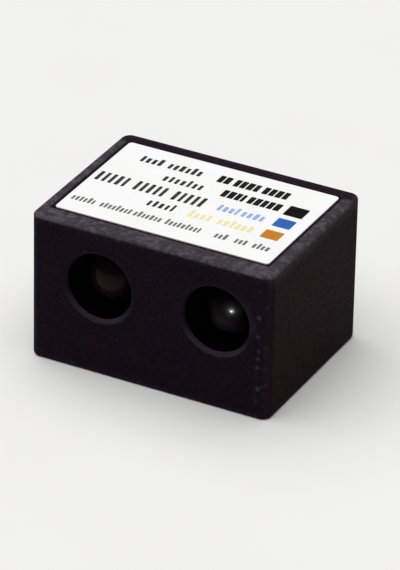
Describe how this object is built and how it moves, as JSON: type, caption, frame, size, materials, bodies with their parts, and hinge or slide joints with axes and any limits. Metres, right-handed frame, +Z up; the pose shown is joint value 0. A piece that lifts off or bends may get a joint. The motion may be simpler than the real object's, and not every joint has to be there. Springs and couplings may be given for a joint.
{
  "type": "infrared distance sensor",
  "caption": "Small black block with an infrared emitter and receiver set side by side in round openings, a printed label on top and a wire socket at the back.",
  "frame": {"origin": "centre of the footprint, on the underside", "axes": "+X to the right as the sensing face is looked at, +Y from the sensing face to the back, +Z up, out of the label"},
  "size_m": [0.0206, 0.0152, 0.0125],
  "materials": {
    "black_plastic": "moulded, fine spark-eroded texture, matt",
    "label_film": "white printed film, satin",
    "smoky_epoxy": "polished, smoky and clear",
    "black_epoxy": "polished, black, passes infrared only",
    "screw_steel": "zinc plated",
    "tinned_metal": "tin plated, satin",
    "gold": "bright",
    "semiconductor": "polished",
    "board_laminate": "green solder mask over glass laminate",
    "socket_nylon": "natural nylon",
    "package_black": "moulded epoxy, matt",
    "tantalum_case": "moulded epoxy, yellow",
    "ceramic_tan": "fired, metal ends",
    "resistor_body": "glazed top, metal ends",
    "indicator_lens": "clear cap",
    "clear_pipe": "clear, polished",
    "solder": "bright solder"
  },
  "bodies": {
    "root": {"housing": "black_plastic", "rear_cover": "black_plastic", "cover_screw": "screw_steel", "light_pipe": "clear_pipe", "top_label": "label_film", "circuit_board": "board_laminate", "emitter_lens": "smoky_epoxy", "emitter_cathode_lead": "tinned_metal", "emitter_anode_lead": "tinned_metal", "emitter_die": "semiconductor", "emitter_bond_wire": "gold", "receiver_body": "black_epoxy", "receiver_leads": "tinned_metal", "connector_shell": "socket_nylon", "connector_pins": "tinned_metal", "controller_chip": "package_black", "controller_leads": "tinned_metal", "amplifier_chip": "package_black", "amplifier_leads": "tinned_metal", "driver_transistor": "package_black", "driver_leads": "tinned_metal", "voltage_regulator": "package_black", "regulator_leads": "tinned_metal", "bulk_capacitor": "tantalum_case", "bulk_capacitor_terminals": "tinned_metal", "ceramic_capacitors": "ceramic_tan", "chip_resistors": "resistor_body", "indicator_led": "indicator_lens", "solder_joints": "solder"}
  },
  "joints": []
}
